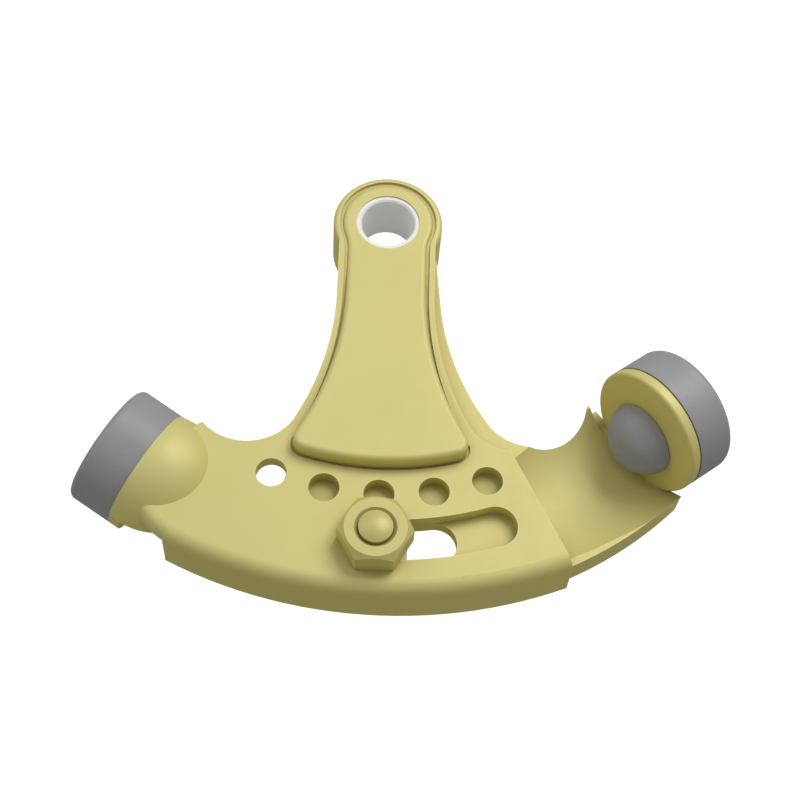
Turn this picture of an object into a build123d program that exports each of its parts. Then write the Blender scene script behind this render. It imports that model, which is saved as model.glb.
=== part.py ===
from build123d import *
from math import sin, cos, radians, sqrt, degrees
import os

os.makedirs("parts", exist_ok=True)

# Hinge pin door stop, in millimetres.
# The hinge pin runs along Z through the origin, and the two arms meet at Z = 0.
# The front arm points along -Y. Angles are counted from -Y towards +X about the pin.

# Hub and bushing
pin_bore_radius = 4.0
bushing_wall = 0.77
bushing_length = 8.7
bushing_rim = 0.25
hub_radius = 8.2
hub_half_height = 4.6
hub_edge_round = 0.7
running_clearance = 0.05
mating_gap = 0.05

# Webs
web_thickness = 2.1
stem_half_width = 7.2
flare_start = 12.5
flare_radius = 42.0
shoulder_radius = 8.0
shoulder_depth = 36.8
plan_overlap = 3.0
band_reach = 59.1
band_centre_x = 0.8
band_centre_y = 9.6
band_wall = 2.1
band_fillet = 1.9

# Skirt of the front arm
skirt_depth = 6.4
skirt_left_angle = -29.8
fan_right_angle = 26.8

# Wing that carries the left horn, beyond the skirt
wing_inset = 0.15
wing_middle_rise = 0.2
wing_tip_inset = 1.0
wing_tip_angle = -35.4
wing_overlap = 1.0
wing_neck_aside = 6.64
wing_neck_below = 5.5

# Web of the back arm, in its own frame
back_fan_left_angle = -22.0
back_fan_right_angle = 36.0

# Raised panel on each stem
panel_head_radius = 6.9
panel_half_width = 6.0
panel_flare_radius = 48.0
panel_foot_radius = 40.2
panel_corner = 1.8
panel_neck_round = 7.0
panel_round = 0.8
groove_width = 0.4
groove_depth = 0.45
boss_foot = 34.0

# Adjusting slot and the row of holes
slot_inset = 7.8
slot_half_width = 3.05
front_slot_start = -2.0
front_slot_end = 18.7
back_slot_start = -14.6
back_slot_end = 3.6
hole_inset = 14.8
hole_radius = 2.2
hole_pitch_angle = 10.05
first_hole_angle = -20.1
hole_count = 5

# Left horn: half ball with a short barrel, open below
ball_inset = 8.055
ball_angle = -37.678
ball_z = -4.1
ball_radius = 9.4
ball_wall = 1.9
ball_foot = -2.4
front_seat_inset = 7.94
front_seat_angle = -40.98
front_seat_z = -4.6
front_axis_angle = 150.0
front_axis_tilt = 0.2
front_plate = 1.6
barrel_length = 3.2

# Right horn: long dish, open above, with a round plate across its end
dish_inset = 8.573
dish_angle = 37.846
dish_z = 4.1
dish_axis_angle = 29.0
dish_length = 36.0
dish_width = 11.5
dish_depth = 7.5
dish_wall = 1.9
dish_inner_inset = 19.1
dish_start_angle = 17.6
dish_end_angle = 46.0
dish_foot = -4.6
ledge_rise = 0.7
ledge_end_angle = 40.5
back_seat_inset = 8.035
back_seat_angle = 43.78
back_seat_z = 4.6
back_axis_angle = 33.2
back_axis_tilt = -0.12
back_plate = 1.8
back_plate_round = 0.5
slit_width = 0.8
slit_offset = 4.5
slit_foot = -2.4
dome_drop = 1.3

# Rubber bumpers
front_bumper_radius = 9.2
back_bumper_radius = 9.5
bumper_edge_round = 1.0
front_bumper_thickness = 7.0
back_bumper_thickness = 6.2
bumper_stem_radius = 3.6
dome_radius = 5.5
dome_height = 4.6
dome_gap = 0.1

# Clamp bolt and nut
bolt_radius = 2.4
bolt_angle = -0.4
bolt_dome = 0.7
bolt_end_rise = 0.25
bolt_head_height = 3.2
bolt_head_turn = 30.0
nut_across_flats = 9.3
nut_height = 4.1
nut_face_radius = 4.35
nut_mouth_radius = 3.0
nut_clearance = 0.05
seat_gap = 0.05

# Closed pose: the back arm's shoulder stands just off the front arm's right end
back_arm_angle = 5.5
stop_gap = 0.3
shelf_radius_gap = 0.3

# Values worked out from those above
bushing_radius = pin_bore_radius + bushing_wall
shoulder_centre_y = -(shoulder_depth - shoulder_radius)
flare_centre_x = stem_half_width + flare_radius
shoulder_centre_x = flare_centre_x - sqrt(
    (flare_radius - shoulder_radius) ** 2 - (shoulder_centre_y + flare_start) ** 2)
ball_bore = ball_radius - ball_wall
band_radius = band_reach + band_centre_y
slot_circle = band_reach - slot_inset
hole_circle = band_reach - hole_inset
ledge_radius = band_reach + ledge_rise
inner_band_radius = band_reach - band_wall - 2 * shelf_radius_gap
stop_angle = fan_right_angle + degrees(stop_gap / band_reach) - back_arm_angle
turned_over = Rot(0, 180, 0)
far = 2 * band_radius


def polar(radius, angle):
    return (radius * sin(radians(angle)), -radius * cos(radians(angle)))


def ring_sector(inner, outer, start, end):
    middle = (start + end) / 2
    with BuildSketch() as plan:
        with BuildLine():
            ThreePointArc(polar(outer, start), polar(outer, middle), polar(outer, end))
            Line(polar(outer, end), polar(inner, end))
            ThreePointArc(polar(inner, end), polar(inner, middle), polar(inner, start))
            Line(polar(inner, start), polar(outer, start))
        make_face()
    return plan.sketch


def disc(radius, place=(0, 0)):
    return Pos(place[0], place[1], 0) * Circle(radius)


def band_at(angle, inset=0):
    """Distance from the pin to the band's arc, along a line at the given angle."""
    towards = Vector(*polar(1, angle), 0)
    middle = Vector(band_centre_x, band_centre_y, 0)
    share = towards.dot(middle)
    return share + sqrt(share ** 2 - middle.length ** 2 + (band_radius - inset) ** 2)


def band_plan(start, end, wall):
    """Part of the band between two angles about the pin, from its outer arc inwards."""
    middle = (band_centre_x, band_centre_y)
    strip = disc(band_radius, middle) - disc(band_radius - wall, middle)
    with BuildSketch() as wedge:
        Polygon((0, 0), polar(far, start), polar(far, end), align=None)
    return strip & wedge.sketch


def flared_stem(half_width, start, radius, foot):
    """A stem that runs straight from the pin and then flares along an arc on each side."""
    def half_at(depth):
        return half_width + radius - sqrt(radius ** 2 - (depth - start) ** 2)
    knee = (start + foot) / 2
    with BuildSketch() as plan:
        with BuildLine():
            for side in (-1, 1):
                Line((0, 0), (side * half_width, 0))
                Line((side * half_width, 0), (side * half_width, -start))
                ThreePointArc((side * half_width, -start), (side * half_at(knee), -knee),
                              (side * half_at(foot), -foot))
                Line((side * half_at(foot), -foot), (0, -foot))
        make_face()
    return plan.sketch


def arm_plan(fan):
    """Outline of a web: head, flared stem and fan, less the round shoulders."""
    plan = disc(hub_radius)
    plan += flared_stem(stem_half_width, flare_start, flare_radius, shoulder_depth + plan_overlap)
    plan += fan
    for side in (-1, 1):
        plan -= disc(shoulder_radius, (side * shoulder_centre_x, shoulder_centre_y))
    return plan


def slab(plan, low, high):
    return Pos(0, 0, low) * extrude(plan, high - low)


def arc_slot(start, end):
    plan = ring_sector(slot_circle - slot_half_width, slot_circle + slot_half_width, start, end)
    for angle in (start, end):
        plan += disc(slot_half_width, polar(slot_circle, angle))
    return slab(plan, -hub_half_height, hub_half_height)


def hole_row():
    places = [polar(hole_circle, first_hole_angle + step * hole_pitch_angle)
              for step in range(hole_count)]
    return [slab(disc(hole_radius, place), -hub_half_height, hub_half_height) for place in places]


def sloping_boss(plan, web_low, drop):
    """Solid over a plan, level over the hub and sloping down to the web, lowered by a drop."""
    top = hub_half_height - drop
    with BuildSketch(Plane.YZ) as side:
        with BuildLine():
            Polyline((hub_radius, web_low), (hub_radius, top), (-hub_radius, top),
                     (-boss_foot, web_thickness - drop), (-far, web_thickness - drop),
                     (-far, web_low), close=True)
        make_face()
    return slab(plan, web_low, top) & extrude(side.sketch, far, both=True)


def panel_plan(grow):
    """Outline of the raised panel, made larger all round by a given width."""
    foot = panel_foot_radius + grow
    plan = flared_stem(panel_half_width + grow, flare_start, panel_flare_radius - grow, foot)
    plan = plan & disc(foot)
    corners = plan.vertices().sort_by(Axis.Y)[:2]
    plan = fillet(corners, panel_corner + grow) + disc(panel_head_radius + grow)
    neck = [corner for corner in plan.vertices() if -panel_head_radius < corner.Y < -1]
    return fillet(neck, panel_neck_round)


def raised_stem(web_low):
    """Boss, groove and raised panel on the outer side of a web, for an arm with its web at Z > 0."""
    top = hub_half_height
    stem = flared_stem(stem_half_width, flare_start, flare_radius, boss_foot)
    boss = sloping_boss(stem + disc(hub_radius), web_low, 0)
    head_edges = [edge for edge in boss.edges().group_by(Axis.Z)[-1].filter_by(GeomType.CIRCLE)
                  if edge.center().Y > 0]
    boss = fillet(head_edges, hub_edge_round)
    bed = panel_plan(groove_width)
    groove = slab(bed, web_low, 2 * top) - sloping_boss(bed, web_low, groove_depth)
    panel = slab(panel_plan(0), web_low, top)
    panel = fillet(panel.edges().group_by(Axis.Z)[-1], panel_round)
    return boss, groove, panel


def hinge_bore(radius):
    return Cylinder(radius, 4 * hub_half_height)


def seat_plane(place, z, angle, tilt):
    """Plane on the seat of a bumper, with its normal pointing to the bumper."""
    return Plane(origin=(*place, z), x_dir=(-sin(radians(angle)), cos(radians(angle)), 0),
                 z_dir=(cos(radians(angle)), sin(radians(angle)), tilt))


def along(plane, low, high, radius):
    """Cylinder on a horn's axis between two distances from the bumper's seat."""
    return plane * (Pos(0, 0, (low + high) / 2) * Cylinder(radius, high - low))


def above(height):
    return Pos(0, 0, height + far / 2) * Box(2 * far, 2 * far, far)


def left_horn(plane):
    """Outer skin, hollow and end plate of the left horn."""
    ball = Pos(*ball_place, ball_z)
    skin = (ball * Sphere(ball_radius)) & along(plane, -far, 0, far)
    skin += along(plane, -barrel_length, 0, front_bumper_radius)
    hollow = (ball * Sphere(ball_bore)) & along(plane, -far, -front_plate, far)
    hollow += along(plane, -barrel_length, -front_plate, front_bumper_radius - ball_wall)
    plate = along(plane, -front_plate, 0, front_bumper_radius)
    return skin & above(ball_foot), hollow, plate


def dish_form(grow):
    """Long round form that the dish is cut with, made larger by the wall for its outer side."""
    form = scale(Sphere(1), by=(dish_length + grow, dish_width + grow, dish_depth + grow))
    return Pos(*polar(band_reach - dish_inset, dish_angle), dish_z) * Rot(0, 0, dish_axis_angle) * form


def right_horn(plane):
    """Shell, dish and slit, outer wall, and the round plate across the end."""
    start = dish_start_angle - degrees(dish_wall / inner_band_radius)
    plan = ring_sector(band_reach - dish_inner_inset, inner_band_radius, start, stop_angle)
    plan += ring_sector(band_reach - dish_inner_inset, ledge_radius, stop_angle, dish_end_angle)
    plan -= disc(shoulder_radius, (shoulder_centre_x, shoulder_centre_y))
    behind = along(plane, -far, -back_plate / 2, far)
    shell = slab(plan, dish_foot, 0) & dish_form(dish_wall) & behind
    wall = slab(ring_sector(ledge_radius - band_wall, ledge_radius, stop_angle, ledge_end_angle),
                dish_foot, 0)
    plate = along(plane, -back_plate, 0, back_bumper_radius)
    plate = fillet(plate.edges().filter_by(GeomType.CIRCLE), back_plate_round)
    slit = plane * (Pos(slit_offset + far / 2, 0, far / 2 - back_plate - slit_width)
                    * Box(far, far, far))
    dish = dish_form(0) & behind & slab(
        ring_sector(hub_radius, far, dish_start_angle, dish_end_angle), dish_foot, hub_radius)
    return shell - (slit & above(slit_foot)), dish, (wall & behind) - dish, plate


def bumper(plane, radius, thickness, plate, drop):
    """Rubber disc with a stem through the horn's plate and a domed head behind it."""
    pad = along(plane, 0, thickness, radius)
    rim = pad.edges().filter_by(GeomType.CIRCLE).sort_by_distance(
        plane.origin + plane.z_dir * thickness)[0]
    pad = fillet(rim, bumper_edge_round)
    inner = -(plate + dome_gap)
    lowered = plane * Pos(0, -drop, 0)
    stem = along(lowered, inner - 1, 0, bumper_stem_radius)
    ball = (dome_radius ** 2 + dome_height ** 2) / (2 * dome_height)
    dome = lowered * (Pos(0, 0, inner + ball - dome_height) * Sphere(ball))
    dome = dome & along(lowered, inner - dome_height - 1, inner, dome_radius)
    return pad + stem + dome


def make_wing():
    """Left end of the front arm's web, beyond the skirt, that runs into the horn."""
    start = skirt_left_angle + wing_overlap
    middle = (skirt_left_angle + wing_tip_angle) / 2
    shore = polar(band_at(start) - wing_inset, start)
    tip = polar(band_reach - wing_tip_inset, wing_tip_angle)
    neck = (-shoulder_centre_x - wing_neck_aside, shoulder_centre_y - wing_neck_below)
    with BuildSketch() as plan:
        with BuildLine():
            ThreePointArc(shore, polar(band_reach + wing_middle_rise, middle), tip)
            Polyline(tip, ball_place, neck,
                     polar(shoulder_depth - plan_overlap, start), shore)
        make_face()
    wing = slab(plan.sketch - disc(shoulder_radius, (-shoulder_centre_x, shoulder_centre_y)),
                0, web_thickness)
    rim = [edge for edge in wing.edges().group_by(Axis.Z)[-1]
           if Vector(edge.center().X, edge.center().Y).length > band_reach - band_wall]
    return fillet(rim, band_fillet)


def make_front_arm(plane):
    fan = band_plan(skirt_left_angle, fan_right_angle, band_reach - shoulder_depth + plan_overlap)
    arm = slab(arm_plan(fan), 0, web_thickness)
    arm += slab(band_plan(skirt_left_angle, fan_right_angle, band_wall), -skirt_depth,
                web_thickness)
    rim = [edge for edge in arm.edges().group_by(Axis.Z)[-1]
           if Vector(edge.center().X, edge.center().Y).length > band_reach - 2 * band_wall]
    arm = fillet(rim, band_fillet) + make_wing()
    boss, groove, panel = raised_stem(0)
    arm = arm + boss - groove + panel
    shell, hollow, plate = left_horn(plane)
    arm = arm + shell - hollow + plate
    arm -= arc_slot(front_slot_start, front_slot_end)
    for hole in hole_row():
        arm -= hole
    arm -= hinge_bore(bushing_radius)
    arm -= along(plane, -2 * front_plate, 1, bumper_stem_radius)
    return arm


def make_back_arm(plane):
    """Built in its own frame, with its web at Z < 0, and turned to its pose afterwards."""
    fan = ring_sector(shoulder_depth - plan_overlap, inner_band_radius, back_fan_left_angle,
                      back_fan_right_angle)
    arm = slab(arm_plan(fan), -web_thickness, -mating_gap)
    boss, groove, panel = [turned_over * piece for piece in raised_stem(mating_gap)]
    arm = arm + boss - groove + panel
    shell, dish, wall, plate = right_horn(plane)
    arm = arm + shell - dish + wall + plate
    arm -= arc_slot(back_slot_start, back_slot_end)
    arm -= hinge_bore(bushing_radius + running_clearance)
    arm -= along(plane * Pos(0, -dome_drop, 0), -2 * back_plate, 1, bumper_stem_radius)
    return arm


def make_bushing():
    sleeve = Cylinder(bushing_radius, bushing_length) - Cylinder(pin_bore_radius, bushing_length)
    return chamfer(sleeve.edges().filter_by(GeomType.CIRCLE).sort_by(SortBy.RADIUS)[:2],
                   bushing_rim)


def hexagon(height):
    """Hexagon with its flats facing along Y and the corners of its top turned off to a round face."""
    corner = nut_across_flats / 2 / cos(radians(30))
    body = extrude(RegularPolygon(corner, 6), height)
    cone = Cone(nut_face_radius + height, nut_face_radius, height,
                align=(Align.CENTER, Align.CENTER, Align.MIN))
    return body & cone


def make_bolt(place):
    head_top = -web_thickness - seat_gap
    tip = web_thickness + seat_gap + nut_height + bolt_end_rise
    shank = Pos(0, 0, head_top) * Cylinder(bolt_radius, tip - head_top,
                                           align=(Align.CENTER, Align.CENTER, Align.MIN))
    ball = (bolt_radius ** 2 + bolt_dome ** 2) / (2 * bolt_dome)
    dome = Pos(0, 0, tip + bolt_dome - ball) * Sphere(ball)
    shank += dome & (Pos(0, 0, tip) * Cylinder(bolt_radius, bolt_dome,
                                               align=(Align.CENTER, Align.CENTER, Align.MIN)))
    head = turned_over * (Pos(0, 0, -head_top) * Rot(0, 0, bolt_head_turn)
                          * hexagon(bolt_head_height))
    return Pos(*place, 0) * (shank + head)


def make_nut(place):
    bore = bolt_radius + nut_clearance
    mouth = Pos(0, 0, nut_height) * Cone(bore, nut_mouth_radius, nut_mouth_radius - bore,
                                         align=(Align.CENTER, Align.CENTER, Align.MAX))
    nut = hexagon(nut_height) - Cylinder(bore, 4 * nut_height) - mouth
    return Pos(place[0], place[1], web_thickness + seat_gap) * Rot(0, 0, bolt_angle) * nut


ball_place = polar(band_reach - ball_inset, ball_angle)
front_seat = seat_plane(polar(band_reach - front_seat_inset, front_seat_angle), front_seat_z,
                        front_axis_angle, front_axis_tilt)
back_seat = seat_plane(polar(band_reach - back_seat_inset, back_seat_angle), back_seat_z,
                       back_axis_angle, back_axis_tilt)
turned = Rot(0, 0, back_arm_angle)
bolt_place = polar(slot_circle, bolt_angle)

pieces = {
    "front_arm": make_front_arm(front_seat),
    "back_arm": turned * make_back_arm(back_seat),
    "front_bumper": bumper(front_seat, front_bumper_radius, front_bumper_thickness,
                           front_plate, 0),
    "back_bumper": turned * bumper(back_seat, back_bumper_radius, back_bumper_thickness,
                                   back_plate, dome_drop),
    "pin_bushing": make_bushing(),
    "clamp_bolt": make_bolt(bolt_place),
    "clamp_nut": make_nut(bolt_place),
}

for name, piece in pieces.items():
    export_step(piece, f"parts/{name}.step")
    box = piece.bounding_box()
    print(name, len(piece.solids()), round(piece.volume, 1), box.min, box.max)
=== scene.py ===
from math import cos, radians, sin

import bpy
from mathutils import Matrix, Vector


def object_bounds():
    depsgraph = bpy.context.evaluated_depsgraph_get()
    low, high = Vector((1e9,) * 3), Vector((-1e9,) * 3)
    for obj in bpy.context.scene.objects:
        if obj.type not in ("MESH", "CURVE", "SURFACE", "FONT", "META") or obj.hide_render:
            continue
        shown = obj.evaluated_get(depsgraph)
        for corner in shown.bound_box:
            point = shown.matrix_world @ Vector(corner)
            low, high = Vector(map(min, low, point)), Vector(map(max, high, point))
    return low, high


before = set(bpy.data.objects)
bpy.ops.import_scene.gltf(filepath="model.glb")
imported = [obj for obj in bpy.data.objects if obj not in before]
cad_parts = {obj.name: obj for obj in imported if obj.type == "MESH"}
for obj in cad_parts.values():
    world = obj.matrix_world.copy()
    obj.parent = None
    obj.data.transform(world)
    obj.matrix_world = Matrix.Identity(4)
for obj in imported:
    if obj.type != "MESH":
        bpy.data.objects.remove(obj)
cad_low, cad_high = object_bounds()

# Everything is in metres, in the frame of the solids: the hinge pin stands along Z
# through the origin, the two arms meet at Z = 0 and the front arm points along -Y.

# Camera: looks down on the stop from the side of its fan, rolled a little to one side
FRAME_PIXELS = 800
FOCAL_PIXELS = 1800.0
SENSOR_WIDTH = 36.0
NEAREST_SEEN = 0.01
CAMERA_ELEVATION = 60.9726
CAMERA_AZIMUTH = -3.0
CAMERA_ROLL = 5.0
CAMERA_DISTANCE = 0.2591093
CAMERA_TARGET = (0.0025916, -0.0291849, 0.0021)

# Lights: two square soft boxes that aim at the middle of the fan
LIGHT_AIM = (0.0, -0.03, 0.0)
KEY_PLACE = (0.17, 0.15, 0.36)
KEY_SIZE = 0.24
KEY_WATTS = 1.1
FILL_PLACE = (-0.26, 0.06, 0.30)
FILL_SIZE = 0.20
FILL_WATTS = 0.2

# Room: a pale floor well below the stop, lifted to white where the camera sees it
FLOOR_DROP = 0.045
FLOOR_SIZE = 6.0
FLOOR_GREY = (0.42, 0.42, 0.42, 1)
FLOOR_LIFT = 0.8
SKY_WHITE = (1.0, 1.0, 1.0, 1.0)
SKY_STRENGTH = 0.42
SKY_STRENGTH_SEEN = 1.0

# Brass of the two arms
ARM_LIGHT = (0.665, 0.595, 0.235, 1)
ARM_DARK = (0.635, 0.565, 0.22, 1)
# The side colour is painted shade: upright faces get a deeper, more saturated brass than level faces
ARM_SIDE_SHADE = (0.69, 0.605, 0.175, 1)
ARM_ROUGHNESS = 0.56

# Brass of the bolt and nut, a little deeper and glossier
FASTENER_LIGHT = (0.62, 0.55, 0.21, 1)
FASTENER_DARK = (0.58, 0.51, 0.19, 1)
# The side colour is painted shade, as on the arms
FASTENER_SIDE_SHADE = (0.65, 0.565, 0.145, 1)
FASTENER_ROUGHNESS = 0.48

# What both kinds of brass share
# The edge colour lightens sharp edges, partly as wear and partly as a painted highlight
BRASS_EDGE_WEAR_AND_HIGHLIGHT = (0.74, 0.67, 0.33, 1)
# The recess colour is painted shade, laid into grooves, holes and the slot
BRASS_RECESS_SHADE = (0.34, 0.29, 0.09, 1)
RECESS_SHADE_SHARE = 0.65
RECESS_REACH = 0.003
EDGE_WIDTH = 0.0003
EDGE_GLOSS = 0.06
ROUGHNESS_SPREAD = 0.03
BRASS_METALLIC = 0.2
BRASS_SPECULAR = 0.35

# Grey rubber
RUBBER_DARK = (0.27, 0.27, 0.272, 1)
RUBBER_LIGHT = (0.30, 0.30, 0.302, 1)
RUBBER_SPECK = (0.34, 0.34, 0.34, 1)
SPECK_SHARE = 0.25

# White nylon
NYLON_LIGHT = (0.88, 0.88, 0.85, 1)
NYLON_DARK = (0.84, 0.84, 0.81, 1)

# Sizes of the noise patterns, as cells per metre
BRASS_CLOUD = 60.0
BRASS_RUB = 420.0
BRASS_FINE = 2600.0
EDGE_BREAKS = 900.0
RUBBER_CLOUD = 160.0
RUBBER_GRAIN = 3200.0
NYLON_CLOUD = 220.0
NYLON_GRAIN = 1800.0


def camera_axes(azimuth, elevation, roll):
    """Right, up and backward directions of a camera, for angles in degrees."""
    a, e, r = radians(azimuth), radians(elevation), radians(roll)
    back = Vector((sin(a) * cos(e), -cos(a) * cos(e), sin(e)))
    right = Vector((cos(a), sin(a), 0))
    up = back.cross(right)
    return cos(r) * right + sin(r) * up, cos(r) * up - sin(r) * right, back


def add_to_scene(name, data):
    thing = bpy.data.objects.new(name, data)
    bpy.context.collection.objects.link(thing)
    return thing


def make_camera():
    data = bpy.data.cameras.new("camera")
    data.sensor_width = SENSOR_WIDTH
    data.lens = FOCAL_PIXELS / FRAME_PIXELS * data.sensor_width
    data.clip_start = NEAREST_SEEN
    camera = add_to_scene("camera", data)
    right, up, back = camera_axes(CAMERA_AZIMUTH, CAMERA_ELEVATION, CAMERA_ROLL)
    turn = Matrix((right, up, back)).transposed().to_4x4()
    place = Vector(CAMERA_TARGET) + back * CAMERA_DISTANCE
    camera.matrix_world = Matrix.Translation(place) @ turn
    bpy.context.scene.camera = camera


def soft_box(name, place, size, watts):
    """Square area light at a place, aimed at the middle of the fan."""
    data = bpy.data.lights.new(name, "AREA")
    data.shape = "RECTANGLE"
    data.size = size
    data.size_y = size
    data.energy = watts
    turn = (Vector(LIGHT_AIM) - Vector(place)).to_track_quat("-Z", "Y").to_matrix().to_4x4()
    add_to_scene(name, data).matrix_world = Matrix.Translation(place) @ turn


class Nodes:
    """Short ways to add and join the nodes of one material, world or group."""

    def __init__(self, tree):
        self.tree = tree
        tree.nodes.clear()

    def add(self, kind, **values):
        node = self.tree.nodes.new(kind)
        for name, value in values.items():
            setattr(node, name, value)
        return node

    def join(self, source, target):
        self.tree.links.new(source, target)

    def plug(self, socket, value):
        """Joins a socket to another one, or sets it to a plain value."""
        if isinstance(value, bpy.types.NodeSocket):
            self.join(value, socket)
        else:
            socket.default_value = value

    def feed(self, node, **inputs):
        """Plugs inputs by name, with _ for a space."""
        for name, value in inputs.items():
            self.plug(node.inputs[name.replace("_", " ")], value)
        return node

    def math(self, operation, first, second):
        node = self.add("ShaderNodeMath", operation=operation)
        self.plug(node.inputs[0], first)
        self.plug(node.inputs[1], second)
        return node.outputs[0]

    def remap(self, value, low, high, new_low=0.0, new_high=1.0):
        node = self.add("ShaderNodeMapRange")
        self.feed(node, Value=value, From_Min=low, From_Max=high, To_Min=new_low, To_Max=new_high)
        return node.outputs[0]

    def mix(self, factor, first, second):
        """Colour between two, as the Mix node gives it; its colour inputs are 6 and 7."""
        node = self.add("ShaderNodeMix", data_type="RGBA")
        self.plug(node.inputs[0], factor)
        self.plug(node.inputs[6], first)
        self.plug(node.inputs[7], second)
        return node.outputs[2]

    def noise(self, scale, detail=3.0, rough=0.5, stretch=(1.0, 1.0, 1.0)):
        place = self.add("ShaderNodeTexCoord").outputs["Object"]
        shape = self.add("ShaderNodeMapping")
        self.feed(shape, Vector=place, Scale=stretch)
        node = self.add("ShaderNodeTexNoise")
        self.feed(node, Vector=shape.outputs[0], Scale=scale, Detail=detail, Roughness=rough)
        return node.outputs["Fac"]

    def bump(self, height, strength, distance):
        node = self.add("ShaderNodeBump")
        self.feed(node, Height=height, Strength=strength, Distance=distance)
        return node.outputs[0]


def make_group(name, inputs, outputs, fill):
    """A shader node group of plain number sockets; fill joins its inside."""
    group = bpy.data.node_groups.new(name, "ShaderNodeTree")
    for title, value in inputs.items():
        socket = group.interface.new_socket(title, in_out="INPUT", socket_type="NodeSocketFloat")
        socket.default_value = value
    for title in outputs:
        group.interface.new_socket(title, in_out="OUTPUT", socket_type="NodeSocketFloat")
    nodes = Nodes(group)
    fill(nodes, nodes.add("NodeGroupInput").outputs, nodes.add("NodeGroupOutput").inputs)
    return group


def fill_edge_wear_and_highlight_mask(nodes, given, result):
    """Where edge wear and a painted highlight go: 1 where the surface turns sharply, broken up by
    fine noise.
    """
    bevel = nodes.add("ShaderNodeBevel", samples=6)
    nodes.join(given["Width"], bevel.inputs["Radius"])
    dot = nodes.add("ShaderNodeVectorMath", operation="DOT_PRODUCT")
    nodes.join(bevel.outputs[0], dot.inputs[0])
    nodes.join(nodes.add("ShaderNodeNewGeometry").outputs["Normal"], dot.inputs[1])
    turn = nodes.remap(dot.outputs["Value"], 1.0, 0.86)
    broken = nodes.remap(nodes.noise(EDGE_BREAKS, 2.0), 0.35, 0.65, 0.45, 1.0)
    nodes.join(nodes.math("MULTIPLY", turn, broken), result["Mask"])


def fill_cast_grain(nodes, given, result):
    """Colour drift, gloss drift and fine height of a cast and tumbled metal surface."""
    cloud = nodes.noise(BRASS_CLOUD, 2.0)
    fine = nodes.noise(BRASS_FINE, 2.0, 0.6)
    rub = nodes.noise(BRASS_RUB, 4.0, 0.6, (1.0, 0.7, 1.0))
    nodes.join(nodes.remap(cloud, 0.3, 0.7), result["Cloud"])
    nodes.join(nodes.remap(rub, 0.3, 0.7), result["Rub"])
    height = nodes.math("ADD", nodes.math("MULTIPLY", fine, 0.6), nodes.math("MULTIPLY", rub, 0.4))
    nodes.join(height, result["Height"])


def fill_side_shade_mask(nodes, given, result):
    """Where the painted shade tone goes: 0 on the level faces that look up, 1 where a face stands
    upright.
    """
    parts = nodes.add("ShaderNodeSeparateXYZ")
    nodes.join(nodes.add("ShaderNodeNewGeometry").outputs["Normal"], parts.inputs[0])
    nodes.join(nodes.remap(parts.outputs["Z"], given["Level"], 0.2), result["Mask"])


def fill_recess_shade_mask(nodes, given, result):
    """Where painted shade goes: 1 deep in a groove, a hole or the slot, 0 on the open faces."""
    opening = nodes.add("ShaderNodeAmbientOcclusion", samples=8)
    nodes.join(given["Reach"], opening.inputs["Distance"])
    nodes.join(nodes.remap(opening.outputs["AO"], 0.85, 0.35), result["Mask"])


def place_group(nodes, group, **values):
    node = nodes.add("ShaderNodeGroup")
    node.node_tree = group
    nodes.feed(node, **values)
    return node.outputs


def new_material(name):
    material = bpy.data.materials.new(name)
    material.use_nodes = True
    nodes = Nodes(material.node_tree)
    shader = nodes.add("ShaderNodeBsdfPrincipled")
    surface = nodes.add("ShaderNodeOutputMaterial")
    nodes.join(shader.outputs[0], surface.inputs["Surface"])
    return material, nodes, shader


def satin_brass(name, light, dark, side, roughness):
    """Cast brass: pale level faces, upright faces in a deeper painted shade tone, painted shade in
    grooves and holes, and edges lightened partly as wear and partly as a painted highlight.
    """
    material, nodes, shader = new_material(name)
    grain = place_group(nodes, CAST_GRAIN)
    edge_wear_and_highlight = place_group(nodes, EDGE_WEAR_AND_HIGHLIGHT, Width=EDGE_WIDTH)["Mask"]
    sides = place_group(nodes, SIDE_SHADE)["Mask"]
    recess_shade_mask = place_group(nodes, RECESS_SHADE, Reach=RECESS_REACH)["Mask"]
    # Painted shade: upright faces take the deeper side colour
    metal = nodes.mix(sides, nodes.mix(grain["Cloud"], light, dark), side)
    # Painted shade: grooves, holes and the slot darken towards a dark olive brass
    metal = nodes.mix(nodes.math("MULTIPLY", recess_shade_mask, RECESS_SHADE_SHARE), metal, BRASS_RECESS_SHADE)
    gloss = nodes.remap(grain["Rub"], 0.0, 1.0, roughness - ROUGHNESS_SPREAD,
                        roughness + ROUGHNESS_SPREAD)
    # Sharp edges are lightened, partly as wear and partly as a painted highlight
    nodes.feed(shader, Base_Color=nodes.mix(edge_wear_and_highlight, metal, BRASS_EDGE_WEAR_AND_HIGHLIGHT),
               Roughness=nodes.math("SUBTRACT", gloss, nodes.math("MULTIPLY", edge_wear_and_highlight, EDGE_GLOSS)),
               Normal=nodes.bump(grain["Height"], 0.08, 0.00005),
               Metallic=BRASS_METALLIC, Specular_IOR_Level=BRASS_SPECULAR)
    return material


def grey_rubber():
    material, nodes, shader = new_material("moulded grey rubber")
    cloud = nodes.remap(nodes.noise(RUBBER_CLOUD), 0.3, 0.7)
    speck = nodes.remap(nodes.noise(RUBBER_GRAIN, 2.0), 0.35, 0.65)
    tone = nodes.mix(cloud, RUBBER_DARK, RUBBER_LIGHT)
    share = nodes.math("MULTIPLY", speck, SPECK_SHARE)
    nodes.feed(shader, Base_Color=nodes.mix(share, tone, RUBBER_SPECK),
               Roughness=nodes.remap(speck, 0.0, 1.0, 0.42, 0.54),
               Normal=nodes.bump(speck, 0.12, 0.00005))
    return material


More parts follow.
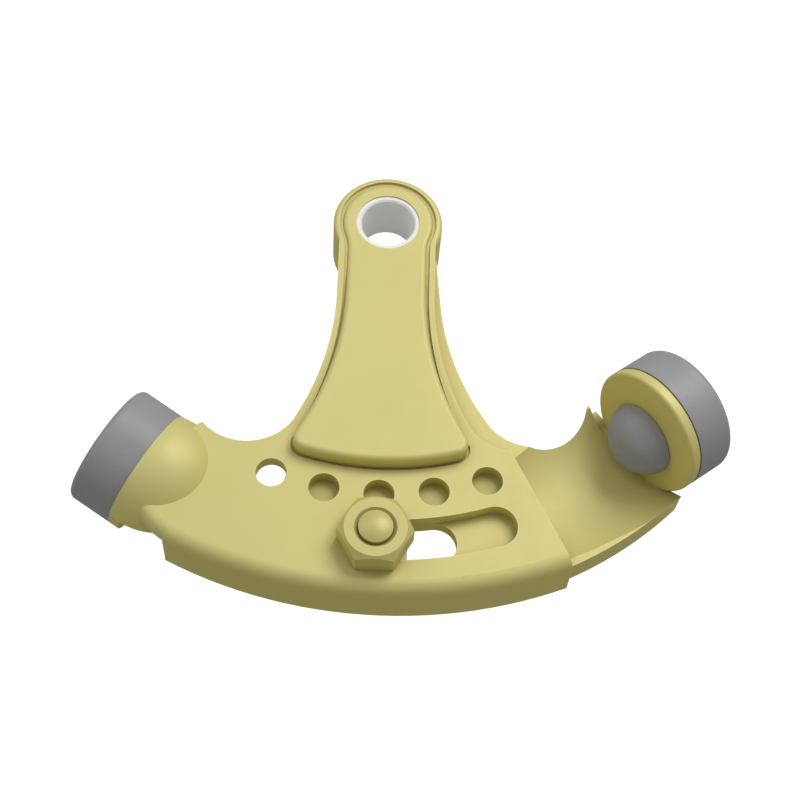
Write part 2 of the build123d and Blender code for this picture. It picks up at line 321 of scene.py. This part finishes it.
def white_nylon():
    material, nodes, shader = new_material("off-white nylon")
    cloud = nodes.remap(nodes.noise(NYLON_CLOUD), 0.3, 0.7)
    nodes.feed(shader, Base_Color=nodes.mix(cloud, NYLON_LIGHT, NYLON_DARK),
               Roughness=nodes.remap(cloud, 0.0, 1.0, 0.38, 0.48),
               Normal=nodes.bump(nodes.noise(NYLON_GRAIN, 2.0), 0.05, 0.00004))
    return material


def dress(material, *names):
    for name in names:
        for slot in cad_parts[name].material_slots:
            slot.material = material


def camera_ray(nodes):
    return nodes.add("ShaderNodeLightPath").outputs["Is Camera Ray"]


def make_floor():
    half = FLOOR_SIZE / 2
    level = cad_low[2] - FLOOR_DROP
    mesh = bpy.data.meshes.new("floor")
    corners = [(-half, -half, level), (half, -half, level), (half, half, level), (-half, half, level)]
    mesh.from_pydata(corners, [], [(0, 1, 2, 3)])
    material = bpy.data.materials.new("pale floor")
    material.use_nodes = True
    nodes = Nodes(material.node_tree)
    paint = nodes.add("ShaderNodeBsdfDiffuse")
    paint.inputs["Color"].default_value = FLOOR_GREY
    lift = nodes.add("ShaderNodeEmission")
    nodes.join(nodes.math("MULTIPLY", camera_ray(nodes), FLOOR_LIFT), lift.inputs["Strength"])
    both = nodes.add("ShaderNodeAddShader")
    nodes.join(paint.outputs[0], both.inputs[0])
    nodes.join(lift.outputs[0], both.inputs[1])
    nodes.join(both.outputs[0], nodes.add("ShaderNodeOutputMaterial").inputs["Surface"])
    mesh.materials.append(material)
    add_to_scene("floor", mesh)


def make_sky():
    world = bpy.data.worlds.new("studio")
    world.use_nodes = True
    bpy.context.scene.world = world
    nodes = Nodes(world.node_tree)
    strength = nodes.remap(camera_ray(nodes), 0.0, 1.0, SKY_STRENGTH, SKY_STRENGTH_SEEN)
    sky = nodes.feed(nodes.add("ShaderNodeBackground"), Color=SKY_WHITE, Strength=strength)
    nodes.join(sky.outputs[0], nodes.add("ShaderNodeOutputWorld").inputs["Surface"])


# Node groups that both kinds of brass use
# Edge wear and painted highlight on sharp edges
EDGE_WEAR_AND_HIGHLIGHT = make_group("edge wear and painted highlight", {"Width": EDGE_WIDTH}, ["Mask"], fill_edge_wear_and_highlight_mask)
CAST_GRAIN = make_group("cast grain", {}, ["Cloud", "Rub", "Height"], fill_cast_grain)
# Painted shade tone on the upright faces
SIDE_SHADE = make_group("painted side shade", {"Level": 0.95}, ["Mask"], fill_side_shade_mask)
# Painted shade in grooves, holes and the slot
RECESS_SHADE = make_group("painted recess shade", {"Reach": RECESS_REACH}, ["Mask"], fill_recess_shade_mask)

make_camera()
make_floor()
make_sky()
soft_box("key", KEY_PLACE, KEY_SIZE, KEY_WATTS)
soft_box("fill", FILL_PLACE, FILL_SIZE, FILL_WATTS)

dress(satin_brass("satin brass", ARM_LIGHT, ARM_DARK, ARM_SIDE_SHADE, ARM_ROUGHNESS),
      "front_arm", "back_arm")
dress(satin_brass("fastener brass", FASTENER_LIGHT, FASTENER_DARK, FASTENER_SIDE_SHADE,
                  FASTENER_ROUGHNESS), "clamp_bolt", "clamp_nut")
dress(grey_rubber(), "front_bumper", "back_bumper")
dress(white_nylon(), "pin_bushing")

bpy.context.scene.view_settings.view_transform = "Standard"
